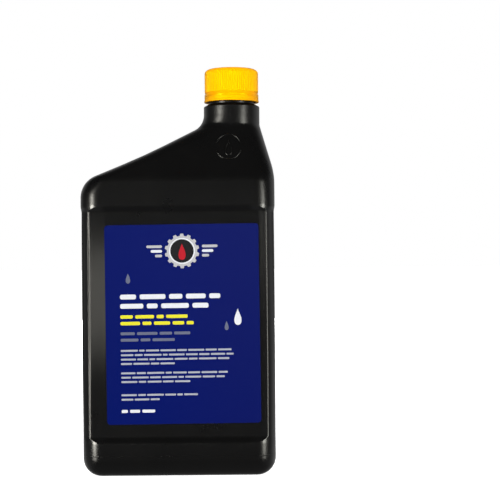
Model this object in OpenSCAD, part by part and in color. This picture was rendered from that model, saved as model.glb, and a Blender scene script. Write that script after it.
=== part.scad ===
// One-quart motor oil bottle: a blow-moulded bottle with an offset neck, a ribbed screw cap with its
// seal disc, the tamper band that stays on the neck, and a label in the front panel.
// The origin is the middle of the footprint on the ground, +Z is up, and the label faces -Y.

/* [Body] */
// Width over the shoulder band
band_w = 110.2; // [104:0.2:116]
// How far each narrow side of the foot band lies inside the shoulder band's
foot_set_in = 0.45; // [0.1:0.05:2]
// Depth over both bands, front to back
band_d = 58; // [55:0.2:66]
// Radius of the upright corners, seen from above
corner_r = 11.5; // [11:0.1:14]
// How far the front and back panels are set in
panel_recess = 2.4; // [1:0.1:3]
// Radius that rounds the upright edges of the panels
panel_edge_r = 1.6; // [1:0.1:5]
// How far each narrow side is set in beside the panels
side_recess = 0.5; // [0.1:0.05:2]
// Thickness of the blown wall
wall = 1.1; // [0.8:0.05:1.4]
// How far the narrow sides bulge out again half way up the panels
side_bulge = 0.15; // [0.05:0.05:0.6]

/* [Heights] */
// Height of the foot band
foot_band_h = 19; // [17:0.1:26]
// Height of the step from the foot band to the panels
lower_step_h = 4.4; // [3:0.1:7]
// Height of the flat part of the panels
panel_h = 125.6; // [118:0.1:132]
// Height of the step from the panels to the shoulder band
upper_step_h = 3.9; // [2:0.1:5]
// Height from the shoulder band's lower edge to the root of the collar
shoulder_h = 46.9; // [42:0.1:52]
// Height of the collar above its root
collar_h = 10.7; // [9:0.1:13]

/* [Shoulder] */
// Height in the shoulder at which the long ramp meets the narrow side
ramp_knee_h = 13.8; // [11:0.1:17]
// Radius of the bend at the foot of the long ramp
ramp_knee_r = 13.6; // [8:0.2:14]
// How far the long ramp sags in its middle, where it would be straight otherwise
ramp_sag = 0.7; // [0.2:0.1:2]
// Radius of the bend from the long ramp into the collar
ramp_root_r = 10.5; // [6:0.1:12]
// Height in the shoulder at which the steep side starts to lean
steep_knee_h = 18.2; // [15:0.2:22]
// Radius of the bend at the foot of the steep side
steep_knee_r = 43; // [25:1:50]
// Height in the shoulder at which the front and back start to lean
face_knee_h = 15.2; // [13:0.1:22]
// Radius of the bend at the foot of the leaning front and back
face_knee_r = 12; // [8:1:40]
// Radius of the bends into the collar on the other three sides
root_r = 5; // [3:0.2:8]

/* [Foot] */
// Radius between the walls and the ground
foot_r = 10.3; // [8:0.1:10.8]
// Width of the ring that the bottle stands on
seat_w = 2; // [1.5:0.1:4]
// How far the middle of the base is pushed up
push_up = 3.5; // [2:0.1:5]
// Length of the pinch line across the base
pinch_l = 56; // [40:1:66]
// Width and drop of the pinch line
pinch_w = 1.2; // [0.8:0.1:2]

/* [Neck] */
// Distance of the neck's axis from the steep side of the shoulder band
neck_edge = 24.2; // [22:0.1:28]
// Radius of the collar
collar_r = 16.15; // [15.6:0.05:17]
// Radius of the mouth
mouth_r = 10.85; // [9.5:0.05:11.2]
// Radius of the neck at the root of its thread
finish_r = 12.75; // [12.5:0.05:12.9]
// Radius over the thread
thread_r = 13.85; // [13.7:0.05:14]
// Rise of the thread in one turn
thread_pitch = 4.23; // [4.1:0.01:4.6]
// Turns of thread on the neck
thread_turns = 1.5; // [1.25:0.05:1.7]
// Radius of the bead that holds the tamper band down
bead_r = 13.95; // [13.8:0.05:14.1]
// Height of the neck above the collar's edge
finish_h = 19; // [18.6:0.1:20]

/* [Cap] */
// Thickness of the cap's wall at the bottom of the grooves
cap_wall = 1.15; // [0.9:0.05:1.3]
// Thickness of the cap's top
cap_top_t = 1.6; // [1.2:0.1:2.2]
// Radius that rounds the cap's top edge
cap_edge_r = 2.4; // [1.5:0.1:2.6]
// Gap between the thread on the neck and the cap's wall
cap_gap = 0.25; // [0.15:0.05:0.4]
// Number of grip ribs
rib_count = 76; // [60:1:90]
// Height of a rib above the grooves
rib_h = 0.28; // [0.15:0.01:0.4]
// Thickness of the seal disc
seal_t = 1; // [0.6:0.1:1.5]

/* [Tamper band] */
// Height of the tamper band
tamper_h = 2.95; // [2.4:0.05:3.2]
// Height of the slit between the cap and the tamper band
slit_h = 0.3; // [0.2:0.05:0.5]
// Number of thin bridges across the slit
bridge_count = 10; // [6:1:14]
// How far the tamper band's lower rim stands out
tamper_flare = 0.22; // [0.1:0.02:0.4]

/* [Label] */
// Gap between the label and the panel's edge on the neck side
label_near_gap = 3.5; // [1:0.1:6]
// Gap between the label and the panel's edge on the other side
label_far_gap = 9.1; // [5:0.1:12]
// Gap between the label and the panel's upper and lower ends
label_end_gap = 6.8; // [3:0.1:10]
// Radius of the label's corners
label_corner_r = 2; // [0.5:0.1:5]
// Thickness of the label
label_t = 0.15; // [0.08:0.01:0.3]
// How far the label is turned, as it was put on
label_turn = 0.4; // [0:0.1:1]

/* [Volume marks] */
// Height of the lowest mark
mark_first_h = 22.9; // [20:0.1:26]
// Distance between marks
mark_pitch = 20.6; // [18:0.1:20.7]
// Length of a mark
mark_l = 9; // [5:0.5:14]
// Thickness of a mark, up and down
mark_t = 0.8; // [0.5:0.1:1.5]
// How far a mark stands out
mark_out = 0.35; // [0.2:0.05:0.6]

/* [Hidden] */
$fn = 72;

// Widths and the neck's place
foot_w = band_w - 2 * foot_set_in;
panel_w = band_w - 2 * side_recess;
neck_offset = band_w / 2 - neck_edge;

// Heights, each built on the one below it
panel_low_z = foot_band_h + lower_step_h;
panel_high_z = panel_low_z + panel_h;
shoulder_z = panel_high_z + upper_step_h;
root_z = shoulder_z + shoulder_h;
collar_z = root_z + collar_h;
lip_z = collar_z + finish_h;

// The cone on the collar, its step in to the neck's plain ring, and how much of the ring shows under the band
cone_rise = 1.4;
cone_step = 0.3;
neck_gap = 1.2;
ring_r = finish_r + 0.45;
cone_r = ring_r + cone_step;

// Play between faces that only rest on each other, play of a loose fit, and how deep joined pieces overlap
rest_gap = 0.05;
loose_gap = 0.25;
sink = 0.35;

// Cap and tamper band, stacked down from the seal on the lip
seal_low_z = lip_z + rest_gap;
cap_ceiling_z = seal_low_z + seal_t + rest_gap;
cap_high_z = cap_ceiling_z + cap_top_t;
tamper_low_z = collar_z + cone_rise + neck_gap;
tamper_high_z = tamper_low_z + tamper_h;
cap_low_z = tamper_high_z + slit_h;
cap_inner_r = thread_r + cap_gap;
cap_outer_r = cap_inner_r + cap_wall;
skirt_r = cap_outer_r + rib_h + 0.1;
skirt_inner_r = bead_r + loose_gap;

// The cap's skirt, the groove above it and the depth of that groove
skirt_rise = 1.2;
groove_rise = 2.1;
groove_depth = 0.1;

// The bead above the tamper band
bead_low_z = tamper_high_z + loose_gap;
bead_rise = 0.8;

// As many volume marks as there is room for up to the panel's upper end
mark_count = floor((panel_high_z - mark_first_h) / mark_pitch) + 1;

// Facets in a quarter of the outside and of the inside of the bottle
OUT_STEPS = 14;
IN_STEPS = 6;

// Smallest plan radius that the base tapers to, and the run of its slope from the seat to the middle
min_plan_r = 1.5;
push_run = 10;

// Least height between two rings of the shoulder
ring_gap = 0.4;

function mix(a, b, t) = a + (b - a) * t;
function ease(t) = (1 - cos(180 * min(max(t, 0), 1))) / 2;

// A wall line is a list of bends, lowest first, each [height, offset, radius]. It runs upright below the
// first and above the last. Its leans are the angles from upright below and above each bend.
function leans(bends) = [0, for (i = [1:len(bends) - 1])
    atan2(bends[i - 1][1] - bends[i][1], bends[i][0] - bends[i - 1][0]), 0];

// The same line moved in by inset, each stretch parallel to what it was
function moved_in(bends, inset) = let (t = leans(bends))
    [for (i = [0:len(bends) - 1])
        let (mid = (t[i] + t[i + 1]) / 2, half = (t[i + 1] - t[i]) / 2, far = inset / cos(half))
        [bends[i][0] - far * sin(mid), bends[i][1] - far * cos(mid), bends[i][2] - inset * sign(half)]];

// Height of the point of bend i at which the wall leans by t. Its centre lies r along the wall's normal.
function bend_z(bend, low, high, t) =
    let (turn = sign(high - low), cut = bend[2] * tan(abs(high - low) / 2))
    bend[0] - cut * cos(low) + turn * bend[2] * (sin(t) - sin(low));

// Offset of the line at height z, followed upwards from bend i
function offset_at(z, bends, t, i = 0) =
    let (bend = bends[i], low = t[i], high = t[i + 1], turn = sign(high - low), r = bend[2],
        cut = r * tan(abs(high - low) / 2), start = bend[0] - cut * cos(low))
    z < start ? bend[1] + (bend[0] - z) * tan(low)
    : z < bend[0] + cut * cos(high)
        ? bend[1] + cut * sin(low) - turn * r * cos(low)
            + turn * sqrt(max(r * r - pow(z - start + turn * r * sin(low), 2), 0))
    : i + 1 < len(bends) ? offset_at(z, bends, t, i + 1)
    : bend[1];

// How far the panels are let in at height z, from 0 in the bands to 1 in the panels
function let_in(z) = ease((z - foot_band_h) / lower_step_h) * ease((shoulder_z - z) / upper_step_h);

// Half the body's width at height z, below the shoulder's bends
function half_w(z) = mix(z < panel_high_z ? foot_w : band_w, panel_w, let_in(z)) / 2
    + side_bulge * sin(180 * min(max((z - panel_low_z) / panel_h, 0), 1));

// The long ramp sags as an arc: its middle bend lies twice the sag off the chord, and its radius fills the
// stretch that the other two bends leave
ramp_low = [shoulder_z + ramp_knee_h, band_w / 2];
ramp_chord = [root_z - ramp_low[0], ramp_low[1] + neck_offset - collar_r];
ramp_l = norm(ramp_chord);
ramp_sag_r = ramp_l * ramp_l / (16 * ramp_sag) * (1 - (ramp_knee_r + ramp_root_r) / ramp_l);
ramp_bends = [
    [ramp_low[0], ramp_low[1], ramp_knee_r],
    [ramp_low[0] + ramp_chord[0] / 2 - 2 * ramp_sag * ramp_chord[1] / ramp_l,
        ramp_low[1] - ramp_chord[1] / 2 - 2 * ramp_sag * ramp_chord[0] / ramp_l, ramp_sag_r],
    [root_z, collar_r - neck_offset, ramp_root_r]];
steep_bends = [
    [shoulder_z + steep_knee_h, band_w / 2, steep_knee_r],
    [root_z, collar_r + neck_offset, root_r]];
face_bends = [
    [shoulder_z + face_knee_h, band_d / 2, face_knee_r],
    [root_z, collar_r, root_r]];

// Offset of a side at height z: the body's own below the shoulder, and along the bends above
function side_x(z, bends, inset) =
    let (moved = moved_in(bends, inset))
    z < shoulder_z ? half_w(z) - inset : offset_at(z, moved, leans(moved));

function face_y(z, inset) = let (moved = moved_in(face_bends, inset)) offset_at(z, moved, leans(moved));

// Plan radius of the corners at height z, from the body's to the round collar's
function plan_r(z, inset) = min(mix(corner_r, collar_r, ease((z - shoulder_z) / shoulder_h)) - inset,
    face_y(z, inset));

// A ring is [height, left x, right x, half depth, half depth over the panels, corner radius]
function body_ring(z, inset) =
    let (left = -side_x(z, ramp_bends, inset), right = side_x(z, steep_bends, inset), deep = face_y(z, inset))
    [z, left, right, deep, deep - panel_recess * let_in(z), plan_r(z, inset)];

// A ring of the foot, moved in by d and lowered to height z
function foot_ring(z, d) =
    [z, d - foot_w / 2, foot_w / 2 - d, band_d / 2 - d, band_d / 2 - d, max(corner_r - d, min_plan_r)];

// How far out a corner circle's radius of length far reaches where it has come up by up
function edge_out(up, far) = sqrt(max(far * far - up * up, 0));

// Corner points of one quarter of a ring, from the narrow side to the wide face. They stand on two arcs, the
// corner's and the panel edge's, at even steps of the surface's direction.
function quarter(w, h, p, r, steps) =
    let (e = min(panel_edge_r, r / 2), up = p - e - (h - r), out = edge_out(up, r - e),
        turn = atan2(up, out), half_step = 45 / steps)
    [for (i = [0:steps - 1])
        let (t = (2 * i + 1) * half_step)
        t < turn || p >= h
            ? [w - r + r * cos(t) / cos(half_step), h - r + r * sin(t) / cos(half_step)]
            : [w - r + out + e * cos(t) / cos(half_step), p - e + e * sin(t) / cos(half_step)]];

function backwards(list) = [for (i = [len(list) - 1:-1:0]) list[i]];

function ring_points(ring, steps) =
    let (mid = (ring[1] + ring[2]) / 2, half = (ring[2] - ring[1]) / 2,
        q = quarter(half, ring[3], ring[4], ring[5], steps))
    concat(
        [for (p = q) [mid + p[0], p[1], ring[0]]],
        [for (p = backwards(q)) [mid - p[0], p[1], ring[0]]],
        [for (p = q) [mid - p[0], -p[1], ring[0]]],
        [for (p = backwards(q)) [mid + p[0], -p[1], ring[0]]]);

// A closed skin over a stack of rings, lowest first, each with the same number of points
module skin(rings, steps) {
    n = 4 * steps;
    last = len(rings) - 1;
    points = [for (ring = rings) each ring_points(ring, steps)];
    walls = [for (k = [0:last - 1], i = [0:n - 1])
        let (a = k * n + i, b = k * n + (i + 1) % n)
        each [[a, b + n, b], [a, a + n, b + n]]];
    polyhedron(points = points, faces = concat(
        [[for (i = [0:n - 1]) i]],
        walls,
        [[for (i = [n - 1:-1:0]) last * n + i]]));
}

// Heights at which the bends of a wall line need a ring, no more than so many degrees apart
function bend_heights(bends, inset, degrees) =
    let (moved = moved_in(bends, inset), t = leans(moved))
    [for (i = [0:len(moved) - 1])
        let (steps = ceil(abs(t[i + 1] - t[i]) / degrees))
        for (k = [0:steps]) bend_z(moved[i], t[i], t[i + 1], mix(t[i], t[i + 1], k / steps))];

function sorted(list) = len(list) < 2 ? list
    : let (pivot = list[floor(len(list) / 2)])
        concat(sorted([for (a = list) if (a < pivot) a]), [pivot], sorted([for (a = list) if (a > pivot) a]));

// The list without the heights that follow another by less than gap
function thinned(list, gap) =
    [for (i = [0:len(list) - 1]) if (i == 0 || list[i] - list[i - 1] > gap) list[i]];

function shoulder_heights(inset, degrees) =
    thinned(sorted(concat(bend_heights(ramp_bends, inset, degrees), bend_heights(steep_bends, inset, degrees),
        bend_heights(face_bends, inset, degrees))), ring_gap);

// The rings from the pushed-up base out to the seat and up the foot's curve
function foot_rings(inset, steps) =
    let (r = foot_r - inset, seat_in = foot_r + seat_w)
    concat(
        [for (i = [steps:-1:1]) foot_ring(push_up * ease(i / steps) + inset, seat_in + push_run * i / steps)],
        [foot_ring(inset, seat_in)],
        [for (i = [0:steps])
            let (t = 90 * (1 - i / steps)) foot_ring(foot_r - r * sin(t), foot_r - r * cos(t))]);

function body_rings(inset, step_steps, degrees) = concat(
    [for (i = [0:step_steps]) body_ring(foot_band_h + lower_step_h * i / step_steps, inset)],
    [for (i = [1:step_steps]) body_ring(panel_low_z + panel_h * i / (step_steps + 1), inset)],
    [for (i = [0:step_steps]) body_ring(panel_high_z + upper_step_h * i / step_steps, inset)],
    [for (z = shoulder_heights(inset, degrees)) body_ring(z, inset)]);

// A round ring about the neck's axis
function neck_ring(z, r) = [z, neck_offset - r, neck_offset + r, r, r, r];

// The outside of the blown body, up to the cone on the collar
module body_outside() {
    skin(concat(foot_rings(0, 7), body_rings(0, 6, 7),
        [neck_ring(collar_z, collar_r), neck_ring(collar_z + cone_rise, cone_r)]), OUT_STEPS);
}

// The hollow that holds the oil, which narrows to just over the mouth inside the collar
module hollow() {
    taper_drop = 3.2;
    taper_end = 0.5;
    mouth_ledge = 0.8;
    skin(concat(foot_rings(wall, 4), body_rings(wall, 3, 14),
        [neck_ring(collar_z - taper_drop, collar_r - wall),
            neck_ring(collar_z - taper_end, mouth_r + mouth_ledge)]), IN_STEPS);
}

// How far the neck and its bore start below the collar's edge
neck_sink = 1;

// The plain ring, bead and lip of the neck, turned about its axis
module finish() {
    base_z = collar_z - neck_sink;
    bead_high_z = bead_low_z + bead_rise;
    bead_foot = 0.1;
    bead_slope = bead_r - finish_r - 0.4;
    lip_bevel = 0.5;
    translate([neck_offset, 0, 0])
        rotate_extrude()
            polygon([
                [0, base_z], [ring_r, base_z], [ring_r, bead_low_z - bead_foot], [bead_r, bead_low_z],
                [bead_r, bead_high_z], [finish_r, bead_high_z + bead_slope],
                [finish_r, lip_z - lip_bevel], [finish_r - lip_bevel, lip_z], [0, lip_z]]);
}

// Half widths of a thread at its root and at its crest
thread_root_w = 1.15;
thread_crest_w = 0.55;
// Play between the two threads, along the axis
thread_play = 0.08;
// Lower end of the neck's thread, whose upper end lies thread_start under the lip
thread_start = 3;
thread_low_z = lip_z - thread_start - thread_pitch * thread_turns;
// How far the cap's thread runs below the neck's, and the angles by which its ends fall short of the neck's
thread_drop = thread_root_w + thread_crest_w + thread_play;
thread_cut_low = 40;
thread_cut_high = 20;
// Angle between two sections of a thread, and the angle over which its ends fade out
thread_step = 12;
thread_fade = 30;

// A helical ridge from the angle first to last, rising by thread_pitch a turn from height low at angle 0.
// It runs from radius root, inside its wall, to radius crest, and fades into the wall over its two ends.
module thread(root, crest, low, first, last) {
    steps = round((last - first) / thread_step);
    out = crest > root;
    buried = root + (out ? sink : -sink) + (out ? rest_gap : -rest_gap);
    function section(a) =
        let (full = min(1, (a - first) / thread_fade, (last - a) / thread_fade),
            tip = mix(buried, crest, full), z = low + thread_pitch * a / 360)
        [for (p = [[root, -thread_root_w], [tip, -thread_crest_w],
                [tip, thread_crest_w], [root, thread_root_w]])
            [p[0] * cos(a), p[0] * sin(a), z + p[1]]];
    sides = [for (k = [0:steps - 1], i = [0:3])
        let (a = 4 * k + i, b = 4 * k + (i + 1) % 4)
        each [[a, b, b + 4], [a, b + 4, a + 4]]];
    faces = concat(sides, [[3, 2, 1, 0], [for (i = [0:3]) 4 * steps + i]]);
    polyhedron(points = [for (i = [0:steps]) each section(mix(first, last, i / steps))],
        faces = out ? faces : [for (f = faces) backwards(f)]);
}

// Raised volume marks up the narrow side away from the neck
module volume_marks() {
    for (i = [0:mark_count - 1]) {
        z = mark_first_h + i * mark_pitch;
        translate([-half_w(z) - mark_out, -mark_l / 2, z - mark_t / 2])
            cube([mark_out + wall / 2, mark_l, mark_t]);
    }
}

// The line across the base where the mould pinched the tube shut
module pinch_line() {
    drop = pinch_w / 2;
    translate([-pinch_l / 2, -pinch_w / 2, push_up - drop])
        cube([pinch_l, pinch_w, drop + wall / 2]);
}

module bottle() {
    color("#161616")
        difference() {
            union() {
                body_outside();
                finish();
                translate([neck_offset, 0, 0])
                    thread(finish_r - sink, thread_r, thread_low_z, 0, 360 * thread_turns);
                volume_marks();
                pinch_line();
            }
            hollow();
            translate([neck_offset, 0, collar_z - neck_sink])
                cylinder(r = mouth_r, h = finish_h + 2 * neck_sink);
        }
}

// Tamper band: a ring that catches under the bead and hangs from the cap by thin bridges
module tamper_band() {
    ledge_in = 0.4;
    ledge_r = bead_r - ledge_in;
    ledge_h = 0.8;
    rim_r = skirt_r + tamper_flare;
    foot_h = 0.9;
    foot_slope = 0.4;
    bridge_w = 0.8;
    bridge_t = 0.6;
    color("#fcc60a")
        translate([neck_offset, 0, 0]) {
            rotate_extrude()
                polygon([
                    [skirt_inner_r, tamper_low_z], [rim_r, tamper_low_z],
                    [rim_r, tamper_low_z + foot_h], [skirt_r, tamper_low_z + foot_h + foot_slope],
                    [skirt_r, tamper_high_z], [ledge_r, tamper_high_z], [ledge_r, tamper_high_z - ledge_h],
                    [skirt_inner_r, tamper_high_z - 2 * ledge_h]]);
            for (i = [0:bridge_count - 1])
                rotate(i * 360 / bridge_count)
                    translate([(skirt_inner_r + skirt_r - bridge_t) / 2, -bridge_w / 2, tamper_high_z - sink])
                        cube([bridge_t, bridge_w, slit_h + sink]);
        }
}

// Outline of the cap's ribbed grip, seen from above: every rib is a flat-topped tooth
function rib_outline() =
    let (shares = [0.06, 0.3, 0.7, 0.94], foot = cap_outer_r - groove_depth, crest = cap_outer_r + rib_h)
    [for (i = [0:rib_count - 1], k = [0:3])
        let (a = 360 / rib_count * (i + shares[k]), r = k == 0 || k == 3 ? foot : crest)
        [r * cos(a), r * sin(a)]];

// The cap's half section: skirt, groove, grip and rounded top
module cap_section(grip_r) {
    edge_steps = 8;
    slope = 0.3;
    step = 0.2;
    groove_r = cap_outer_r - groove_depth;
    groove_z = cap_low_z + groove_rise;
    polygon(concat(
        [[skirt_inner_r, cap_low_z], [skirt_r, cap_low_z], [skirt_r, cap_low_z + skirt_rise],
            [groove_r, groove_z - slope], [groove_r, groove_z], [grip_r, groove_z + step]],
        [for (i = [0:edge_steps]) let (t = 90 * i / edge_steps)
            [grip_r - cap_edge_r * (1 - cos(t)), cap_high_z - cap_edge_r * (1 - sin(t))]],
        [[0, cap_high_z], [0, cap_ceiling_z], [cap_inner_r, cap_ceiling_z], [cap_inner_r, groove_z],
            [skirt_inner_r, groove_z - (skirt_inner_r - cap_inner_r) - slope]]));
}

module cap() {
    rib_end_z = cap_high_z - cap_edge_r / 2;
    color("#fcc60a")
        translate([neck_offset, 0, 0]) {
            rotate_extrude()
                cap_section(cap_outer_r);
            intersection() {
                translate([0, 0, cap_low_z])
                    linear_extrude(rib_end_z - cap_low_z)
                        difference() {
                            polygon(rib_outline());
                            circle(r = cap_outer_r - cap_wall / 2);
                        }
                rotate_extrude()
                    cap_section(cap_outer_r + rib_h);
            }
            thread(cap_inner_r + sink, finish_r + cap_gap, thread_low_z - thread_drop, thread_cut_low,
                360 * thread_turns - thread_cut_high);
        }
}

module seal_disc() {
    color("#e9e4d8")
        translate([neck_offset, 0, seal_low_z])
            cylinder(r = cap_inner_r - loose_gap, h = seal_t);
}

module rounded_rect(w, h, r) {
    square([w, h - 2 * r], center = true);
    square([w - 2 * r, h], center = true);
    for (x = [-1, 1], y = [-1, 1])
        translate([x * (w / 2 - r), y * (h / 2 - r)])
            circle(r = r);
}

// Half the width of the panel's flat part, between its rounded edges
panel_half = panel_w / 2 - corner_r
    + edge_out(corner_r - panel_recess - panel_edge_r, corner_r - panel_edge_r);

module front_label() {
    shift = (label_far_gap - label_near_gap) / 2;
    w = 2 * panel_half - label_far_gap - label_near_gap;
    color("#17227c")
        translate([shift, panel_recess - band_d / 2, (panel_low_z + panel_high_z) / 2])
            rotate([90, -label_turn, 0])
                linear_extrude(label_t)
                    rounded_rect(w, panel_h - 2 * label_end_gap, label_corner_r);
}

bottle();
tamper_band();
seal_disc();
cap();
front_label();
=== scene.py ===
import bmesh
import bpy
from math import atan2, ceil, cos, pi, radians, sin, sqrt, tan
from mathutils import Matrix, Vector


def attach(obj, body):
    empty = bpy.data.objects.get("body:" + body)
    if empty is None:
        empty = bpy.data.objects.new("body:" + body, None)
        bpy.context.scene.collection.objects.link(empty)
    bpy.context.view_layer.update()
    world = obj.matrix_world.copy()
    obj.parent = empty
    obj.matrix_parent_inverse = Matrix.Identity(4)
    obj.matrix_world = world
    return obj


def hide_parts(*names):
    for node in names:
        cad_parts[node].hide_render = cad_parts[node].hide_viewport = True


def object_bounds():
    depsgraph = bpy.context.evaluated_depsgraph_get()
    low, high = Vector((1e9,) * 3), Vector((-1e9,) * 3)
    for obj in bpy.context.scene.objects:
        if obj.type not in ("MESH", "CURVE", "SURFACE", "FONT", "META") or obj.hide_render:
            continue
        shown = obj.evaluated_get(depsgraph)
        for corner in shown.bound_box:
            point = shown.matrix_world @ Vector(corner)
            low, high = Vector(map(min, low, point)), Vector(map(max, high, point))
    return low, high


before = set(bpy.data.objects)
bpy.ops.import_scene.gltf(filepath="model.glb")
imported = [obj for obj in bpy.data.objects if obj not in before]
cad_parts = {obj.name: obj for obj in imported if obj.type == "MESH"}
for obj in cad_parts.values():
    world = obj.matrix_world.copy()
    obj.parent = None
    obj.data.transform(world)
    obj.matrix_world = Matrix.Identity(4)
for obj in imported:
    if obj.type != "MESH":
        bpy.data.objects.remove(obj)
cad_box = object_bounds()

# The bottle
# One shell of black high-density polyethylene, blown from a tube inside a two-part mould. The neck with its
# thread is shaped by the blow pin, and the base is pushed up so that the bottle stands on a ring. All sizes
# are in millimetres, as in the solid model, and go to metres when a mesh is made.


def millimetres(metres):
    return round(metres * 1000, 3)


# Width and depth over the shoulder band, and widths of the foot band and of the waist beside the panels
band_w = millimetres(cad_box[1][0] - cad_box[0][0])
band_d = millimetres(cad_box[1][1] - cad_box[0][1])
foot_w = band_w - 0.9
panel_w = band_w - 1.0
corner_r = 11.5
panel_recess = 2.4
panel_edge_r = 1.6
side_bulge = 0.15
wall = 1.1

# Heights of the foot band's top, the panels' two ends, the shoulder band's foot, the collar's foot and top
foot_band_z = 19.0
panel_low_z = 23.4
panel_high_z = 149.0
shoulder_z = 152.9
root_z = 199.8
collar_z = 210.5

# The neck stands off the middle, and the shoulder's walls lean in to its collar through these bends
neck_x = 30.9
collar_r = 16.15
ramp_knee_z = shoulder_z + 13.8
ramp_knee_r = 13.6
ramp_root_r = 10.5
ramp_sag = 0.7
steep_knee_z = shoulder_z + 18.2
steep_knee_r = 43.0
face_knee_z = shoulder_z + 15.2
face_knee_r = 12.0
root_r = 5.0

# The foot's round, the ring that the bottle stands on, and the pushed-up middle inside it
foot_r = 10.3
seat_w = 2.0
push_up = 3.5
push_run = 10.0
least_corner_r = 1.5


def mix(a, b, t):
    return a + (b - a) * t


def ease(t):
    return (1 - cos(pi * min(max(t, 0), 1))) / 2


class WallLine:
    """A wall's line from the side: upright, through bends of (height, offset, radius), and upright again."""

    def __init__(self, bends, inset=0.0):
        lean = [0.0]
        for low, high in zip(bends, bends[1:]):
            lean.append(atan2(low[1] - high[1], high[0] - low[0]))
        lean.append(0.0)
        self.lean = lean
        self.bends = []
        for (z, offset, r), below, above in zip(bends, lean, lean[1:]):
            middle, half = (below + above) / 2, (above - below) / 2
            far = inset / cos(half)
            turn = 1 if half > 0 else -1
            self.bends.append((z - far * sin(middle), offset - far * cos(middle), r - inset * turn))

    def heights(self, step):
        """Heights that follow the bends, one for each step of turning."""
        for (z, _, r), below, above in zip(self.bends, self.lean, self.lean[1:]):
            turn = 1 if above > below else -1
            start = z - r * tan(abs(above - below) / 2) * cos(below)
            count = ceil(abs(above - below) / step)
            for k in range(count + 1):
                yield start + turn * r * (sin(mix(below, above, k / count)) - sin(below))

    def offset(self, z):
        for (bend_z, offset, r), below, above in zip(self.bends, self.lean, self.lean[1:]):
            cut = r * tan(abs(above - below) / 2)
            start = bend_z - cut * cos(below)
            turn = 1 if above > below else -1
            if z < start:
                return offset + (bend_z - z) * tan(below)
            if z < bend_z + cut * cos(above):
                arc = r * r - (z - start + turn * r * sin(below)) ** 2
                return offset + cut * sin(below) - turn * r * cos(below) + turn * sqrt(max(arc, 0))
        return offset


# The long ramp sags in its middle, on the arc that fills what its two end bends leave of its length
ramp_rise = root_z - ramp_knee_z
ramp_run = band_w / 2 + neck_x - collar_r
ramp_l = sqrt(ramp_rise**2 + ramp_run**2)
ramp_bends = [
    (ramp_knee_z, band_w / 2, ramp_knee_r),
    (
        ramp_knee_z + ramp_rise / 2 - 2 * ramp_sag * ramp_run / ramp_l,
        band_w / 2 - ramp_run / 2 - 2 * ramp_sag * ramp_rise / ramp_l,
        ramp_l**2 / (16 * ramp_sag) * (1 - (ramp_knee_r + ramp_root_r) / ramp_l),
    ),
    (root_z, collar_r - neck_x, ramp_root_r),
]
steep_bends = [(steep_knee_z, band_w / 2, steep_knee_r), (root_z, collar_r + neck_x, root_r)]
face_bends = [(face_knee_z, band_d / 2, face_knee_r), (root_z, collar_r, root_r)]


def let_in(z):
    """How far the front and back panels are let in at height z, from 0 to 1."""
    above_foot = (z - foot_band_z) / (panel_low_z - foot_band_z)
    below_shoulder = (shoulder_z - z) / (shoulder_z - panel_high_z)
    return ease(above_foot) * ease(below_shoulder)


def half_width(z):
    wide = foot_w if z < panel_high_z else band_w
    bulge = sin(pi * min(max((z - panel_low_z) / (panel_high_z - panel_low_z), 0), 1))
    return mix(wide, panel_w, let_in(z)) / 2 + side_bulge * bulge


class Skin:
    """Level rings of the blown wall, all moved in from the outside by the same inset."""

    # Shares of the panels' height at which the wall gets a ring, and the least distance between two rings
    panel_shares = (0.004, 0.1, 0.25, 0.4, 0.5, 0.6, 0.75, 0.9, 0.996)
    ring_gap = 0.22

    def __init__(self, inset):
        self.inset = inset
        self.ramp = WallLine(ramp_bends, inset)
        self.steep = WallLine(steep_bends, inset)
        self.face = WallLine(face_bends, inset)

    def ring(self, z):
        """(height, left x, right x, half depth, half depth over the panels, corner radius)"""
        deep = self.face.offset(z)
        if z < shoulder_z:
            left = right = half_width(z) - self.inset
        else:
            left, right = self.ramp.offset(z), self.steep.offset(z)
        r = mix(corner_r, collar_r, ease((z - shoulder_z) / (root_z - shoulder_z))) - self.inset
        return z, -left, right, deep, deep - panel_recess * let_in(z), min(r, deep)

    def foot_ring(self, z, d):
        """A ring of the underside, which lies in from the foot's outline by d."""
        deep = band_d / 2 - d
        return z, d - foot_w / 2, foot_w / 2 - d, deep, deep, max(corner_r - d, least_corner_r)

    def rings(self, detail):
        """Every ring from the middle of the base to the root of the collar. Detail 1 is the outside's."""
        inset, r, seat_in = self.inset, foot_r - self.inset, foot_r + seat_w
        steps = ceil(14 * detail)
        rings = [
            self.foot_ring(push_up * ease(i / steps) + inset, seat_in + push_run * i / steps)
            for i in range(steps, 0, -1)
        ]
        rings.append(self.foot_ring(inset, seat_in))
        for i in range(steps + 1):
            t = pi / 2 * (1 - i / steps)
            rings.append(self.foot_ring(foot_r - r * sin(t), foot_r - r * cos(t)))
        levels = [foot_r + 0.4, (foot_r + foot_band_z) / 2, foot_band_z - 0.4, shoulder_z + 0.4]
        for low, high in ((foot_band_z, panel_low_z), (panel_high_z, shoulder_z)):
            levels += [mix(low, high, i / steps) for i in range(steps + 1)]
        levels += [mix(panel_low_z, panel_high_z, t) for t in self.panel_shares]
        for line in (self.ramp, self.steep, self.face):
            levels += line.heights(radians(2.5 / detail))
        kept = []
        for z in sorted(levels):
            if z > foot_r and (not kept or z - kept[-1] > self.ring_gap / detail):
                kept.append(z)
        return rings + [self.ring(z) for z in kept]


# Shares of a flat stretch at which it gets points, from its middle to its end
flat_shares = (0.0, 0.5, 0.9, 0.985)
# Steps round an upright corner and round a panel's edge
corner_steps = 16
edge_steps = 6


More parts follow.
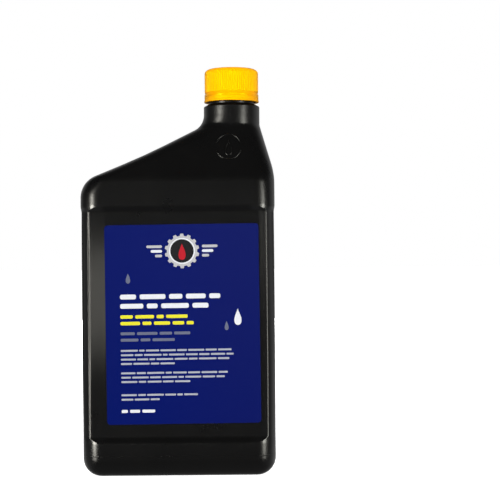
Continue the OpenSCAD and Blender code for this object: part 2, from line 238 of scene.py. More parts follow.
def corner_line(half, deep, panel, r):
    """Points of a quarter ring from above: the narrow side, the corner, the panel's edge and the panel."""
    e = min(panel_edge_r, r / 2)
    up = panel - e - (deep - r)
    reach = sqrt(max((r - e) ** 2 - up * up, 0))
    turn = atan2(up, reach)
    line = [(half, (deep - r) * share) for share in flat_shares]
    for k in range(corner_steps + 1):
        a = turn * k / corner_steps
        line.append((half - r + r * cos(a), deep - r + r * sin(a)))
    for k in range(1, edge_steps + 1):
        a = mix(turn, pi / 2, k / edge_steps)
        line.append((half - r + reach + e * cos(a), panel - e + e * sin(a)))
    line += [((half - r + reach) * share, panel) for share in reversed(flat_shares[1:])]
    return line


def ring_points(ring):
    """A ring's points, from its quarter mirrored across both middles."""
    z, left, right, deep, panel, r = ring
    middle = (left + right) / 2
    q = corner_line((right - left) / 2, deep, panel, r)
    loop = q + [(0, panel)] + [(-x, y) for x, y in reversed(q)]
    loop += [(-x, -y) for x, y in q[1:]] + [(0, -panel)] + [(x, -y) for x, y in reversed(q[1:])]
    return [(middle + x, y, z) for x, y in loop]


class Shell:
    """Points in millimetres and faces with a material number, gathered before they become one mesh."""

    def __init__(self):
        self.points, self.faces, self.numbers = [], [], []

    def loft(self, loops, cap_start=False, cap_end=False, closed=True, number=0):
        """A skin over loops of as many points each. Loops that aren't closed leave two sides free."""
        n = len(loops[0])
        base = len(self.points)
        faces = []
        for k in range(len(loops) - 1):
            for i in range(n if closed else n - 1):
                a, b = k * n + i, k * n + (i + 1) % n
                faces.append([a, b, b + n, a + n])
        if cap_start:
            faces.append(list(reversed(range(n))))
        if cap_end:
            faces.append([(len(loops) - 1) * n + i for i in range(n)])
        self.points += [p for loop in loops for p in loop]
        self.faces += [[base + i for i in face] for face in faces]
        self.numbers += [number] * len(faces)

    def lathe(self, profile, centre_x, count):
        """A profile of (radius, height) turned about the upright axis at centre_x."""
        turns = [2 * pi * i / count for i in range(count)]
        self.loft([[(centre_x + r * cos(a), r * sin(a), z) for a in turns] for r, z in profile])

    def piece(self, name, materials, merge=0.002, crease=40):
        """The finished object: doubles merged, faces smooth, large faces kept flat by weighted normals."""
        mesh = bpy.data.meshes.new(name)
        mesh.from_pydata([(x / 1000, y / 1000, z / 1000) for x, y, z in self.points], [], self.faces)
        for material in materials:
            mesh.materials.append(material)
        mesh.polygons.foreach_set("material_index", self.numbers)
        thing = bpy.data.objects.new(name, mesh)
        bpy.context.scene.collection.objects.link(thing)
        work = bmesh.new()
        work.from_mesh(mesh)
        bmesh.ops.remove_doubles(work, verts=work.verts, dist=merge / 1000)
        bmesh.ops.dissolve_degenerate(work, edges=work.edges, dist=merge / 2000)
        bmesh.ops.recalc_face_normals(work, faces=work.faces)
        for face in work.faces:
            face.smooth = True
        for edge in work.edges:
            edge.smooth = len(edge.link_faces) < 2 or edge.calc_face_angle(0) < radians(crease)
        work.to_mesh(mesh)
        work.free()
        weighted = thing.modifiers.new("flat faces stay flat", "WEIGHTED_NORMAL")
        weighted.keep_sharp = True
        return thing


def rounded(profile, radius, steps=4):
    """A polyline of (radius, height) with each inner corner rounded."""
    line = [profile[0]]
    for before, here, after in zip(profile, profile[1:], profile[2:]):
        one = (before[0] - here[0], before[1] - here[1])
        two = (after[0] - here[0], after[1] - here[1])
        one_l, two_l = sqrt(one[0] ** 2 + one[1] ** 2), sqrt(two[0] ** 2 + two[1] ** 2)
        cut = min(radius, one_l * 0.45, two_l * 0.45)
        start = (here[0] + one[0] / one_l * cut, here[1] + one[1] / one_l * cut)
        end = (here[0] + two[0] / two_l * cut, here[1] + two[1] / two_l * cut)
        for k in range(steps + 1):
            t = k / steps
            shares = ((1 - t) ** 2, 2 * t * (1 - t), t * t)
            line.append(tuple(sum(f * c for f, c in zip(shares, trio)) for trio in zip(start, here, end)))
    line.append(profile[-1])
    return line


# The neck above the collar: a sloping edge, a ring to the bead, the bead, the threaded finish and the lip
lip_z = 229.5
mouth_r = 10.85
finish_r = 12.75
ring_r = 13.2
cone_r = 13.5
cone_rise = 1.4
bead_r = 13.95
bead_low_z = 216.3
bead_high_z = 217.1
bead_slope = 0.8
# The collar's plain wall starts above the highest bend of the shoulder, and the mouth's inside ends above it
collar_low_z = root_z + 6.6
mouth_low_z = collar_z - 0.5
finish_line = rounded(
    [
        (collar_r, collar_low_z),
        (collar_r, collar_z),
        (cone_r, collar_z + cone_rise),
        (ring_r, collar_z + cone_rise + 0.02),
        (ring_r, bead_low_z - 0.1),
        (bead_r, bead_low_z),
        (bead_r, bead_high_z),
        (finish_r, bead_high_z + bead_slope),
        (finish_r, lip_z),
        (mouth_r, lip_z),
        (mouth_r, mouth_low_z),
    ],
    0.45,
)
neck_inside = [
    (mouth_r + 0.8, mouth_low_z),
    (collar_r - wall, collar_z - 3.2),
    (collar_r - wall, collar_low_z),
]
outside, inside = Skin(0.0), Skin(wall)
skin = [ring_points(ring) for ring in outside.rings(1)]
skin += [ring_points((z, neck_x - r, neck_x + r, r, r, r)) for r, z in finish_line + neck_inside]
skin += [ring_points(ring) for ring in reversed(inside.rings(0.5))]
bottle_shell = Shell()
bottle_shell.loft(skin, cap_start=True, cap_end=True)

thread_r = 13.85
thread_pitch = 4.23
thread_turns = 1.5
thread_low_z = lip_z - 3 - thread_pitch * thread_turns
# Half the thread's width at its root and at its crest, and how far its root reaches into the wall
thread_root_w = 1.15
thread_crest_w = 0.55
thread_sink = 0.1
# Angles of a thread in degrees: between two sections, and over which its ends fade into the wall
thread_step = 4
thread_fade = 30


def helix(shell, root, crest, low, first, last):
    """A thread: a rounded ridge that climbs thread_pitch a turn and fades into its wall at both ends."""
    count = int((last - first) / thread_step)
    loops = []
    for k in range(count + 1):
        angle = mix(first, last, k / count)
        full = min(1, (angle - first) / thread_fade, (last - angle) / thread_fade)
        tip = mix(root, crest, ease(full))
        z = low + thread_pitch * angle / 360
        a = radians(angle)
        section = [
            (root, -thread_root_w),
            (mix(root, tip, 0.85), -thread_crest_w - 0.1),
            (tip, -thread_crest_w + 0.15),
        ]
        section += [(r, -h) for r, h in reversed(section)]
        loops.append([(neck_x + r * cos(a), r * sin(a), z + h) for r, h in section])
    shell.loft(loops, cap_start=True, cap_end=True)


helix(bottle_shell, finish_r - thread_sink, thread_r, thread_low_z, 0, 360 * thread_turns)


def raised(shell, path, w, h, place, closed=False, sink=0.12):
    """A rounded bead along a path of (a, b) points. place gives the point that lies up above the surface."""
    loops = []
    count = len(path)
    for i, (a, b) in enumerate(path):
        before = path[i - 1] if closed or i else path[0]
        after = path[(i + 1) % count] if closed or i + 1 < count else path[-1]
        along = (after[0] - before[0], after[1] - before[1])
        length = sqrt(along[0] ** 2 + along[1] ** 2)
        side = (-along[1] / length, along[0] / length)
        loop = []
        for t in (-1, -0.8, -0.4, 0, 0.4, 0.8, 1):
            up = h * sqrt(1 - t * t) - (sink if abs(t) == 1 else 0)
            loop.append(place(a + side[0] * w / 2 * t, b + side[1] * w / 2 * t, up))
        loops.append(loop)
    if closed:
        loops.append(loops[0])
    else:
        ends = []
        for (a, b), (c, d) in ((path[0], path[1]), (path[-1], path[-2])):
            length = sqrt((a - c) ** 2 + (b - d) ** 2)
            out = ((a - c) / length * w / 2, (b - d) / length * w / 2)
            ends.append([place(a + out[0], b + out[1], -sink)] * len(loops[0]))
        loops = [ends[0]] + loops + [ends[1]]
    shell.loft(loops, closed=False)


def on_side(a, b, up):
    """A point on the narrow side away from the neck: a runs to the reader's right, b is the height."""
    return -min(half_width(b) + up, band_w / 2), -a, b


# Volume marks up the narrow side, and a plain figure at every second one. Strokes are in a box one unit high
figure_strokes = {
    "0": [[(0.3 + 0.26 * cos(t * pi / 8), 0.5 + 0.5 * sin(t * pi / 8)) for t in range(17)]],
    "1": [[(0.12, 0.8), (0.32, 1.0), (0.32, 0.0)]],
    "2": [[(0.05, 0.76), (0.14, 0.93), (0.3, 1.0), (0.46, 0.93), (0.54, 0.75), (0.46, 0.55),
           (0.05, 0.0), (0.57, 0.0)]],
    "4": [[(0.45, 0.0), (0.45, 1.0), (0.03, 0.3), (0.6, 0.3)]],
    "8": [
        [(0.3 + 0.21 * cos(t * pi / 6), 0.76 + 0.23 * sin(t * pi / 6)) for t in range(13)],
        [(0.3 + 0.26 * cos(t * pi / 6), 0.27 + 0.27 * sin(t * pi / 6)) for t in range(13)],
    ],
}
mark_count = 7
mark_first_z = 22.9
mark_pitch = 20.6
mark_reach = 4.1
mark_w = 0.8
mark_out = 0.3
# A figure's height, how far it stands above its mark, its pitch as a share of the height, and its stroke
figure_h = 3.4
figure_up = 1.3
figure_pitch = 0.74
figure_w = 0.55
figure_out = 0.22
for i in range(mark_count):
    z = mark_first_z + i * mark_pitch
    raised(bottle_shell, [(-mark_reach, z), (0, z), (mark_reach, z)], mark_w, mark_out, on_side)
    if i % 2 == 0:
        figures = str(4 * (i + 1))
        start = -len(figures) * figure_pitch / 2 * figure_h
        for k, figure in enumerate(figures):
            left = start + figure_pitch * k * figure_h
            for stroke in figure_strokes[figure]:
                path = [(left + a * figure_h, z + figure_up + b * figure_h) for a, b in stroke]
                raised(bottle_shell, path, figure_w, figure_out, on_side)


def on_front(x, z, up):
    """A point on the front of the shoulder, straight out from the wall."""

    def wall_y(x, z):
        _, left, right, _, panel, r = outside.ring(z)
        past = max(abs(x - (left + right) / 2) - ((right - left) / 2 - r), 0)
        return -(panel - r + sqrt(max(r * r - past * past, 0)))

    dx = wall_y(x + 0.5, z) - wall_y(x - 0.5, z)
    dz = wall_y(x, z + 0.5) - wall_y(x, z - 0.5)
    length = sqrt(dx * dx + dz * dz + 1)
    return x + dx / length * up, wall_y(x, z) - up / length, z + dz / length * up


# The mark moulded on the shoulder: a drop of oil in a broken ring
mark_x = 29.3
mark_z = 186.0
mark_r = 7.2
mark_stroke_w = 1.0
mark_stroke_out = 0.6
for first, last in ((20, 160), (200, 340)):
    turns = [radians(mix(first, last, k / 20)) for k in range(21)]
    arc = [(mark_x + mark_r * cos(a), mark_z + mark_r * sin(a)) for a in turns]
    raised(bottle_shell, arc, mark_stroke_w, mark_stroke_out, on_front)
drop_w = 2.6
drop_h = 4.2
drop_down = 0.6
drop_steps = 32
drop = []
for k in range(drop_steps):
    a = 2 * pi * k / drop_steps
    # The power draws the drop to a point above
    across = drop_w * sin(a) * sin(a / 2) ** 1.6
    drop.append((mark_x + across, mark_z - drop_down + drop_h * cos(a)))
raised(bottle_shell, drop, mark_stroke_w, mark_stroke_out, on_front, closed=True)


def on_base(x, y, up):
    return x, y, push_up - up


# The line across the base where the mould pinched the tube shut
pinch_reach = 28
pinch_w = 1.2
pinch_out = 0.5
pinch_path = [(-pinch_reach, 0), (-10, 0), (10, 0), (pinch_reach, 0)]
raised(bottle_shell, pinch_path, pinch_w, pinch_out, on_base)


class Link:
    """A socket in a finish's node tree, so that its maths reads as plain arithmetic."""

    def __init__(self, tree, socket=None):
        self.tree, self.socket = tree, socket

    def node(self, kind, settings=None, inputs=None, out=0):
        """A new node of that kind: its settings come first, then the values or links of its sockets."""
        made = self.tree.nodes.new("ShaderNode" + kind)
        for name, value in (settings or {}).items():
            setattr(made, name, value)
        for name, value in (inputs or {}).items():
            if isinstance(value, Link):
                self.tree.links.new(value.socket, made.inputs[name])
            else:
                made.inputs[name].default_value = value
        return Link(self.tree, made.outputs[out] if made.outputs else None)

    def maths(self, operation, *values):
        return self.node("Math", {"operation": operation}, dict(enumerate(values)))

    def __add__(self, other):
        return self.maths("ADD", self, other)

    def __sub__(self, other):
        return self.maths("SUBTRACT", self, other)

    def __rsub__(self, other):
        return self.maths("SUBTRACT", other, self)

    def __mul__(self, other):
        return self.maths("MULTIPLY", self, other)

    def __abs__(self):
        return self.maths("ABSOLUTE", self)

    __radd__, __rmul__ = __add__, __mul__

    def step(self, low, high):
        """0 below low, 1 above high, and smooth between them; low may be the greater of the two."""
        ends = {"Value": self, "From Min": low, "From Max": high}
        return self.node("MapRange", {"interpolation_type": "SMOOTHSTEP"}, ends)

    def blend(self, first, second):
        """A colour that goes from first to second as this goes from 0 to 1."""
        pair = {0: self}
        for name, colour in ((6, first), (7, second)):
            pair[name] = colour if isinstance(colour, Link) else (*colour, 1)
        return self.node("Mix", {"data_type": "RGBA"}, pair, out=2)


def new_finish(name, **constants):
    """A material with one Principled shader, whose constant sockets are set at once."""
    material = bpy.data.materials.new(name)
    material.use_nodes = True
    shader = material.node_tree.nodes["Principled BSDF"]
    for socket, value in constants.items():
        shader.inputs[socket.replace("_", " ").title().replace("Ior", "IOR")].default_value = value
    return material, shader, Link(material.node_tree)


def wire(material, shader, **links):
    for socket, link in links.items():
        material.node_tree.links.new(link.socket, shader.inputs[socket.replace("_", " ").title()])


def cloud(tree, scale, detail, stretch=(1, 1, 1)):
    """Soft noise over the piece, its grain about 1/scale metres across, stretched by three factors."""
    place = tree.node("TexCoord", out="Object")
    if stretch != (1, 1, 1):
        place = tree.node("Mapping", inputs={"Vector": place, "Scale": stretch})
    return tree.node("TexNoise", inputs={"Vector": place, "Scale": scale, "Detail": detail}, out="Fac")


def axis(tree, name):
    """A coordinate of the surface in metres, X, Y or Z."""
    return tree.node("SeparateXYZ", inputs={0: tree.node("TexCoord", out="Object")}, out=name)


def bump(height, distance, under=None, strength=1.0):
    inputs = {"Height": height, "Distance": distance, "Strength": strength}
    if under:
        inputs["Normal"] = under
    return height.node("Bump", inputs=inputs)


black, black_shader, tree = new_finish("black polyethylene", specular_ior_level=0.5, coat_roughness=0.2)
x, y, z = (axis(tree, name) for name in "XYZ")
mottle = cloud(tree, 55, 4)
scuff = cloud(tree, 260, 3, (1, 1, 0.35)).step(0.56, 0.75)

# The mould's sharp edge round each let-in panel turns inward at the panel's four corners. In metres: how far
# out the edge lies, the height of the panel's middle, how far from it the turns start, how far in they go
edge_x = 0.0486
panel_mid_z = 0.0863
turn_up = 0.0622
turn_l = 0.0065
panel_end = abs(z - panel_mid_z).step(turn_up, turn_up + 0.002)
from_edge = abs(x) - (edge_x - panel_end * turn_l)
panel_edge = from_edge.step(-0.001, 0.0) * abs(x).step(0.0512, 0.0502) * abs(y).step(0.018, 0.024)
panel_edge = panel_edge * z.step(0.0185, 0.0200) * z.step(0.1540, 0.1525)

# The front panel's margins beside the label are a little warped and lean out towards the sides
front = y.step(-0.018, -0.024)
left_warp = z.step(0.035, 0.09) * z.step(0.162, 0.115) * x.step(-0.037, -0.042) * front
right_warp = z.step(0.05, 0.13) * z.step(0.152, 0.148) * x.step(0.044, 0.048) * front
margins = x.maths("MINIMUM", x + 0.0405, 0) * left_warp - x.maths("MAXIMUM", x - 0.046, 0) * right_warp

# Blowing leaves the left edges of the panels rounder than the right ones, and the band and the foot lean in
# a little towards their ends. The collar stays upright a little further down than the bends of the mould
left_edge = x.step(-0.0488, -0.0512) * abs(y).step(0.0178, 0.0262)
left_edge = left_edge * z.step(0.0205, 0.0235) * z.step(0.1525, 0.149)
lean = z.step(0.152, 0.182) * 0.002 + z.step(0.018, 0.0) * 0.0012 - z.step(0.1970, 0.2045) * 0.0009

# The seams where the mould's halves and its base meet, slow waves of the wall, and the die's fine lines
seam = abs(y).step(0.00035, 0.0001)
base_seam = abs(z - 0.0122).step(0.0003, 0.0001)
sway = cloud(tree, 28, 1) * z.step(0.2, 0.185)
die_lines = cloud(tree, 420, 2, (1, 1, 0.02))
grain = cloud(tree, 1500, 2)
relief = bump(seam + base_seam * 0.8, 0.0001)
relief = bump(margins * 0.177, 1.0, relief)
relief = bump(left_edge * -0.0005 - lean, 1.0, relief)
relief = bump(sway, 0.0012, relief, 0.35)
relief = bump(die_lines * 0.5 + grain * 0.5, 0.00006, relief, 0.5)
dull = mottle * 0.06 + scuff * 0.06 + z.step(0.198, 0.203) * 0.035 + (left_warp + right_warp) * 0.12
wire(
    black,
    black_shader,
    base_color=mottle.blend((0.0018, 0.0018, 0.0019), (0.0032, 0.0031, 0.0030)),
    roughness=0.25 + dull,
    coat_weight=panel_edge * x.step(-0.01, 0.01).maths("MAXIMUM", panel_end),
    normal=relief,
)
bottle = bottle_shell.piece("blown_bottle", [black])
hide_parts("bottle")
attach(bottle, "bottle")

# The tamper band
# A ring of yellow polypropylene, moulded in one with the cap and cut from it by a slit that leaves thin
# bridges. It catches under the bead of the neck, so it stays behind when the cap is first turned.
skirt_inner_r = 14.2
skirt_r = 15.63
tamper_flare = 0.22
tamper_low_z = 213.1
tamper_high_z = 216.05
ledge_r = 13.55
cap_low_z = 216.35
# The cutter leaves a thin lip on both sides of the slit
burr = 0.12
tamper_line = [
    (skirt_inner_r, 215.0),
    (skirt_inner_r, tamper_low_z),
    (skirt_r + tamper_flare, tamper_low_z),
    (skirt_r + tamper_flare, tamper_low_z + 0.9),
    (skirt_r, tamper_low_z + 1.3),
    (skirt_r, tamper_high_z + burr),
    (skirt_r - 0.3, tamper_high_z + burr),
    (skirt_r - 0.4, tamper_high_z),
    (ledge_r, tamper_high_z),
    (ledge_r, tamper_high_z - 0.8),
    (skirt_inner_r, tamper_high_z - 1.6),
    (skirt_inner_r, 215.0),
]
tamper_round = 0.14
tamper_steps = 144
tamper_shell = Shell()
tamper_shell.lathe(rounded(tamper_line, tamper_round), neck_x, tamper_steps)
bridge_count = 10
bridge_in_r = 14.65
bridge_out_r = 15.25
# Half the angle of a bridge, whose foot is wider and whose tip is narrower
bridge_turn = 0.4 / 15
for i in range(bridge_count):
    a = 2 * pi * i / bridge_count
    loops = []
    for z, spread in ((tamper_high_z - 0.2, 1.3), (tamper_high_z + 0.1, 1.0), (cap_low_z - 0.005, 0.7)):
        low, high = a - bridge_turn * spread, a + bridge_turn * spread
        corners = ((bridge_in_r, low), (bridge_out_r, low), (bridge_out_r, high), (bridge_in_r, high))
        loops.append([(neck_x + r * cos(t), r * sin(t), z) for r, t in corners])
    tamper_shell.loft(loops, cap_start=True, cap_end=True)

yellow, yellow_shader, tree = new_finish(
    "yellow polypropylene", ior=1.68, specular_ior_level=1.0, specular_tint=(1, 0.92, 0.0, 1)
)
z = axis(tree, "Z")
shade = cloud(tree, 90, 3)
# The thin skirt below the ribs is darker and duller, because the black neck shows through it, and the turned
# edge above the slit is smoother
skirt = z.step(0.2192, 0.2180)
slit_edge = abs(z - 0.2169).step(0.0007, 0.0004)
ribbed_colour = shade.blend((0.93, 0.385, 0.0001), (0.96, 0.415, 0.0002))
skirt_colour = shade.blend((0.92, 0.355, 0.0001), (0.95, 0.38, 0.0002))
wire(
    yellow,
    yellow_shader,
    base_color=skirt.blend(ribbed_colour, skirt_colour),
    roughness=0.42 + shade * 0.06 + skirt * 0.1 - slit_edge * 0.3,
    normal=bump(cloud(tree, 600, 2, (1, 1, 0.15)), 0.00004, strength=0.4),
)
tamper_ring = tamper_shell.piece("tamper_ring", [yellow])
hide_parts("tamper_band")
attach(tamper_ring, "bottle")

# The seal disc
# A disc of foamed polyethylene, punched from sheet and pressed into the top of the cap, where it seals the
# lip. Its solid has the true form, so it only gets its finish.
foam, foam_shader, tree = new_finish("foamed polyethylene")
place = tree.node("TexCoord", out="Object")
cells = tree.node("TexVoronoi", inputs={"Vector": place, "Scale": 2600}, out="Distance")
wire(
    foam,
    foam_shader,
    base_color=cloud(tree, 300, 2).blend((0.78, 0.74, 0.66), (0.86, 0.83, 0.77)),
    roughness=0.6 + cells * 0.2,
    normal=bump(cells, 0.00008, strength=0.6),
)
seal_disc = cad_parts["seal_disc"]
seal_disc.data.materials.clear()
seal_disc.data.materials.append(foam)

# The cap
# A screw cap of yellow polypropylene, moulded over a threaded core. Fine ribs give grip down to a groove,
# and a plain skirt below it meets the bridges of the tamper band.
cap_high_z = millimetres(cad_box[1][2])
cap_outer_r = 15.25
cap_inner_r = 14.1
cap_edge_r = 2.4
cap_ceiling_z = 230.6
groove_low_z = cap_low_z + 1.8
groove_z = cap_low_z + 2.1
rib_count = 76
rib_h = 0.28
rib_points = 8


def rib_share(i):
    """How much of a rib's height stands at step i round the cap: steep flanks and a slightly crowned top."""
    t = (i % rib_points) / rib_points
    return ease((0.5 - abs(t - 0.5)) / 0.28) * (0.9 + 0.1 * sin(pi * t))


def ribbed_loop(r, z, h):
    """A ring round the cap at radius r, with ribs of height h."""
    count = rib_count * rib_points
    loop = []
    for i in range(count):
        a, far = 2 * pi * i / count, r + h * rib_share(i)
        loop.append((neck_x + far * cos(a), far * sin(a), z))
    return loop


# The cap's outside from the skirt's inner edge to the small dimple of the moulding gate on top, as radius,
# height and share of the ribs' height
cap_line = [
    (skirt_inner_r, groove_low_z - 0.1, 0),
    (skirt_inner_r, cap_low_z + 0.12, 0),
    (skirt_inner_r + 0.12, cap_low_z, 0),
    (skirt_r - 0.4, cap_low_z, 0),
    (skirt_r - 0.3, cap_low_z - burr, 0),
    (skirt_r - 0.04, cap_low_z - burr, 0),
    (skirt_r, cap_low_z - 0.03, 0),
    (skirt_r, cap_low_z + 0.18, 0),
    (skirt_r, cap_low_z + 1.02, 0),
    (skirt_r - 0.06, cap_low_z + 1.2, 0),
    (cap_outer_r - 0.02, groove_low_z - 0.1, 0),
    (cap_outer_r - 0.1, groove_low_z, 0),
    (cap_outer_r - 0.1, groove_z, 0),
    (cap_outer_r - 0.08, groove_z + 0.05, 0.1),
    (cap_outer_r - 0.03, groove_z + 0.15, 0.75),
    (cap_outer_r, groove_z + 0.32, 1),
    (cap_outer_r, groove_z + 0.7, 1),
    (cap_outer_r, cap_high_z - cap_edge_r - 0.4, 1),
]
for k in range(15):
    t = pi / 2 * k / 14
    edge_x, edge_z = cap_outer_r - cap_edge_r * (1 - cos(t)), cap_high_z - cap_edge_r * (1 - sin(t))
    cap_line.append((edge_x, edge_z, 1 - ease(t / 1.15)))
gate_depth = 0.15
cap_line += [
    (cap_outer_r - cap_edge_r - 0.6, cap_high_z, 0),
    (6.0, cap_high_z, 0),
    (1.9, cap_high_z, 0),
    (1.7, cap_high_z - gate_depth, 0),
    (0.5, cap_high_z - gate_depth, 0),
    (0.35, cap_high_z - 0.04, 0),
]
cap_inside = [
    (skirt_inner_r, groove_low_z - 0.1),
    (cap_inner_r, groove_z),
    (cap_inner_r, cap_ceiling_z),
    (0.5, cap_ceiling_z),
]
cap_shell = Shell()
cap_shell.loft([ribbed_loop(r, z, share * rib_h) for r, z, share in cap_line], cap_end=True)
cap_shell.loft([ribbed_loop(r, z, 0) for r, z in rounded(cap_inside, 0.3)], cap_end=True)
# The cap's thread runs under the neck's and clears the neck's wall. Its ends, in degrees, fall short
cap_thread_r = finish_r + 0.25
cap_thread_low_z = thread_low_z - 1.78
cap_thread_first = 40
cap_thread_last = 360 * thread_turns - 20
cap_root = cap_inner_r + thread_sink
helix(cap_shell, cap_root, cap_thread_r, cap_thread_low_z, cap_thread_first, cap_thread_last)
cap = cap_shell.piece("screw_cap", [yellow])
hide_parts("cap")
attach(cap, "cap")

# The label and its print
# A plastic film label, printed in colours on a deep blue ground, die-cut with small round corners and stuck
# in the let-in front panel, a little askew. Its print is plain shapes: a badge with a drop, bars and drops.
film, film_shader, tree = new_finish("printed blue film", specular_ior_level=0.03)
tint = cloud(tree, 16, 2)
across = axis(tree, "X").step(-0.03, 0.05)
wire(
    film,
    film_shader,
    base_color=(tint * 0.5 + across * 0.5).blend((0.0005, 0.0046, 0.084), (0.0024, 0.0054, 0.074)),
    roughness=0.3 + tint * 0.08,
    normal=bump(cloud(tree, 60, 1), 0.0003, strength=0.25),
)
front_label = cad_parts["front_label"]
front_label.data.materials.clear()
front_label.data.materials.append(film)


def ink(name, dark, light):
    """A printing ink whose cover varies a little, as screens of dots do from a step away."""
    material, shader, tree = new_finish(name, specular_ior_level=0.15)
    patch = cloud(tree, 900, 2)
    wire(material, shader, base_color=patch.blend(dark, light), roughness=0.45 + patch * 0.08)
    return material


inks = [
    ink("white ink", (0.50, 0.51, 0.54), (0.60, 0.61, 0.63)),
    ink("grey ink", (0.075, 0.085, 0.14), (0.11, 0.12, 0.17)),
    ink("yellow ink", (0.52, 0.48, 0.015), (0.60, 0.56, 0.02)),
    ink("silver ink", (0.28, 0.28, 0.285), (0.42, 0.42, 0.425)),
    ink("red ink", (0.30, 0.003, 0.010), (0.36, 0.005, 0.013)),
    ink("black ink", (0.005, 0.005, 0.006), (0.010, 0.010, 0.011)),
    ink("fine print", (0.24, 0.25, 0.29), (0.34, 0.35, 0.39)),
]
white, grey, lemon, silver, red, soot, fine = range(len(inks))
label_turn = radians(0.4)
label_x = 2.8
label_z = (panel_low_z + panel_high_z) / 2
label_t = 0.15
label_y = panel_recess - band_d / 2 - label_t
print_shell = Shell()


def on_label(u, v, lift):
    """A point of the print, u to the right and v up from the label's middle, lift above the film."""
    return (
        label_x + u * cos(label_turn) - v * sin(label_turn),
        label_y - lift,
        label_z + u * sin(label_turn) + v * cos(label_turn),
    )


def printed(outline, number, lift=0.006):
    """A flat printed shape with its edge turned down to the film."""
    top = [on_label(u, v, lift) for u, v in outline]
    foot = [on_label(u, v, -0.01) for u, v in outline]
    print_shell.loft([foot, top], cap_end=True, number=number)


def bar(u, v, w, h, number, r=None):
    """A bar with rounded ends, from its left end u and its middle height v."""
    r = min(h / 2, w / 2) if r is None else r
    right, left, top, bottom = u + w - r, u + r, v + h / 2 - r, v - h / 2 + r
    outline = []
    for cu, cv, start in ((right, top, 0), (left, top, 90), (left, bottom, 180), (right, bottom, 270)):
        for k in range(5):
            a = radians(start + 22.5 * k)
            outline.append((cu + r * cos(a), cv + r * sin(a)))
    printed(outline, number)


def disc(u, v, r, number, lift, count=40):
    """A round spot about u and v."""
    turns = [2 * pi * k / count for k in range(count)]
    printed([(u + r * cos(a), v + r * sin(a)) for a in turns], number, lift)


def drip(u, v, size, number, lift=0.006, count=36):
    """An oil drop: round below and drawn to a point above."""
    turns = [2 * pi * k / count for k in reversed(range(count))]
    outline = [(u + 0.62 * size * sin(a) * sin(a / 2) ** 1.5, v + size * cos(a)) for a in turns]
    printed(outline, number, lift)


# The badge: a toothed wheel round a red drop, between stripes that shorten away from it
badge_u = 0.2
badge_v = 41.0
tooth_count = 14
tooth_points = 8
wheel = []
for k in range(tooth_count * tooth_points):
    r = 9.7 if 2 <= k % tooth_points <= 5 else 8.5
    a = 2 * pi * (k + 0.5) / (tooth_count * tooth_points)
    wheel.append((badge_u + r * cos(a), badge_v + r * sin(a)))
printed(wheel, silver)
disc(badge_u, badge_v, 7.3, white, 0.010)
disc(badge_u, badge_v, 6.6, soot, 0.014)
drip(badge_u, badge_v - 0.4, 4.6, red, 0.018)
stripe_near = 11.2
for side in (-1, 1):
    for row, (stripe_far, number) in enumerate(((20.0, silver), (17.6, white), (15.2, silver))):
        start = stripe_near if side > 0 else -stripe_far
        bar(badge_u + start, badge_v + 2.6 * (1 - row), stripe_far - stripe_near, 1.5, number)

# Rows of bars as long as words: the row's middle height, its bars' height, its ink and the words' lengths
margin_u = -35.0
rows = [
    (15.6, 2.7, white, (9.0, 14.5, 7.5, 11.0, 6.2)),
    (10.4, 2.7, white, (13.0, 6.0, 15.5, 9.0)),
    (4.4, 1.9, lemon, (7.0, 10.5, 4.0, 12.0)),
    (0.7, 1.9, lemon, (11.0, 5.0, 9.0, 6.5, 4.0)),
    (-5.0, 1.6, grey, (8.0, 11.5, 7.0, 9.0)),
    (-8.6, 1.6, grey, (10.0, 5.5, 12.5)),
    (-14.6, 1.05, fine, (9.5, 3.0, 7.4, 8.6, 5.4, 9.0, 6.2, 7.5)),
    (-17.05, 1.05, fine, (7.0, 4.4, 9.8, 2.6, 8.8, 6.6, 5.8, 8.0, 4.0)),
    (-19.5, 1.05, fine, (8.4, 6.0, 3.2, 9.4, 7.2, 4.8, 9.9, 6.4)),
    (-21.95, 1.05, fine, (6.2, 9.0, 4.6, 8.0)),
    (-27.2, 1.05, fine, (8.0, 5.0, 9.6, 3.4, 7.6, 6.8, 8.8, 5.2)),
    (-29.65, 1.05, fine, (5.4, 9.2, 6.0, 8.4, 3.0, 9.0, 7.0, 4.6)),
    (-32.1, 1.05, fine, (9.0, 4.2, 7.8, 6.0, 8.6)),
    (-39.5, 1.05, fine, (8.6, 4.2, 9.4, 6.0, 3.0, 7.8)),
    (-42.0, 1.05, fine, (6.6, 8.2, 5.0)),
    (-48.6, 1.7, white, (3.4, 5.6, 7.2)),
]
for v, h, number, lengths in rows:
    u = margin_u
    for length in lengths:
        bar(u, v, length, h, number, r=h * 0.35)
        u += length + h * 0.75

# Loose drops: their place on the label, half their height and their ink
for u, v, size, number in ((31.0, 3.6, 4.6, white), (24.6, -1.2, 2.6, grey), (-30.4, 26.0, 2.9, grey)):
    drip(u, v, size, number)
print_piece = print_shell.piece("label_print", inks, merge=0.0004)
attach(print_piece, "bottle")

# Floor, light and camera
# The bottle stands on a plain pale floor in a light room. Two tall soft boxes left and right of the camera
# draw the highlights down its corners, and three broad lamps in front, behind and above fill the rest.
pale, pale_shader, tree = new_finish("pale floor", roughness=0.9, emission_strength=0.95)
pale_shader.inputs["Emission Color"].default_value = (1, 1, 1, 1)
wire(pale, pale_shader, base_color=cloud(tree, 4, 2).blend((0.80, 0.80, 0.80), (0.84, 0.84, 0.84)))
floor_mesh = bpy.data.meshes.new("pale_floor")
floor_mesh.from_pydata([(-8, -8, 0), (8, -8, 0), (8, 8, 0), (-8, 8, 0)], [], [(0, 1, 2, 3)])
floor_mesh.materials.append(pale)
floor_piece = bpy.data.objects.new("pale_floor", floor_mesh)
bpy.context.scene.collection.objects.link(floor_piece)
floor_piece.visible_glossy = False
floor_piece.visible_diffuse = False

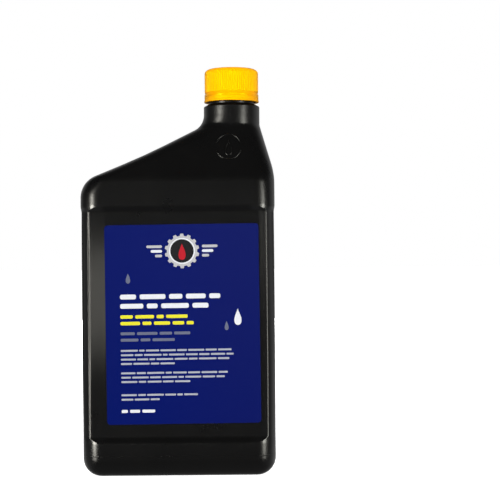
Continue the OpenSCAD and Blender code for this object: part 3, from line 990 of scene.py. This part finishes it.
room = bpy.data.worlds.new("light room")
room.use_nodes = True
bpy.context.scene.world = room
room.node_tree.nodes.clear()
tree = Link(room.node_tree)
way = tree.node("TexCoord", out="Generated")
side, back, high = (tree.node("SeparateXYZ", inputs={0: way}, out=name) for name in "XYZ")
# What the plastic mirrors of the room: a pale wall behind it, darker on the left, a dim band all round, and
# the pale surface that it stands on, brighter at its back. A ray's direction says which it meets
wall_glow = back.step(0.0, 0.4) * (1 - side.step(-0.7, -0.88) * 0.9) * abs(high).step(0.6, 0.3) * 0.36
band_glow = abs(high).step(0.45, 0.1) * 0.058 + 0.028
near_glow = back.step(-0.6, -0.1) * high.step(-0.85, -0.6) * 0.13 + 0.06
low_glow = high.step(-0.08, -0.3) * near_glow + high.step(-0.55, -0.95) * 0.03
glow = wall_glow + band_glow + low_glow
mirrored = tree.node("Background", inputs={"Color": (1, 1, 1, 1), "Strength": glow})
# What lights the parts that don't shine is a grey room, and the camera sees a white one
scattered = tree.node("Background", inputs={"Color": (0.45, 0.45, 0.45, 1)})
plain = tree.node("Background", inputs={"Color": (1, 1, 1, 1)})
seen, spread = (tree.node("LightPath", out=name) for name in ("Is Camera Ray", "Is Diffuse Ray"))
light = tree.node("MixShader", inputs={0: spread, 1: mirrored, 2: scattered})
both = tree.node("MixShader", inputs={0: seen, 1: light, 2: plain})
tree.node("OutputWorld", inputs={"Surface": both})


def soft_box(name, azimuth, distance, height, w, h, power, colour=(1, 1, 1), mirrored=False):
    """A lamp azimuth degrees to the right of the camera's line, which the gloss mirrors or which fills."""
    data = bpy.data.lights.new(name, "AREA")
    data.shape, data.size, data.size_y = "RECTANGLE", w, h
    data.energy, data.color = power, colour
    box = bpy.data.objects.new(name, data)
    a = radians(azimuth)
    box.location = (distance * sin(a), -distance * cos(a), height)
    aim = Vector((0.0, 0.0, 0.12)) - box.location
    box.rotation_euler = aim.to_track_quat("-Z", "Y").to_euler()
    box.visible_glossy, box.visible_diffuse = mirrored, not mirrored
    bpy.context.scene.collection.objects.link(box)


for name, azimuth, power, colour in (
    ("left soft box", -48, 12, (1.0, 0.97, 0.88)),
    ("right soft box", 51, 6.0, (1.0, 0.99, 0.90)),
):
    soft_box(
        name, azimuth, distance=1.1, height=0.06, w=0.31, h=0.8, power=power, colour=colour, mirrored=True
    )
soft_box("front fill", azimuth=2, distance=1.6, height=0.4, w=0.8, h=0.8, power=32)
soft_box("back fill", azimuth=180, distance=1.6, height=0.4, w=0.8, h=0.8, power=24)
soft_box("top fill", azimuth=150, distance=0.5, height=1.7, w=1.0, h=1.0, power=4)

camera_data = bpy.data.cameras.new("camera")
camera_data.sensor_width, camera_data.lens = 36, 94.05
camera = bpy.data.objects.new("camera", camera_data)
camera.location = (0.0409, -0.760, 0.1274)
camera.rotation_euler = (radians(90), radians(0.5), 0)
bpy.context.scene.collection.objects.link(camera)
bpy.context.scene.camera = camera
bpy.context.scene.view_settings.view_transform = "Standard"
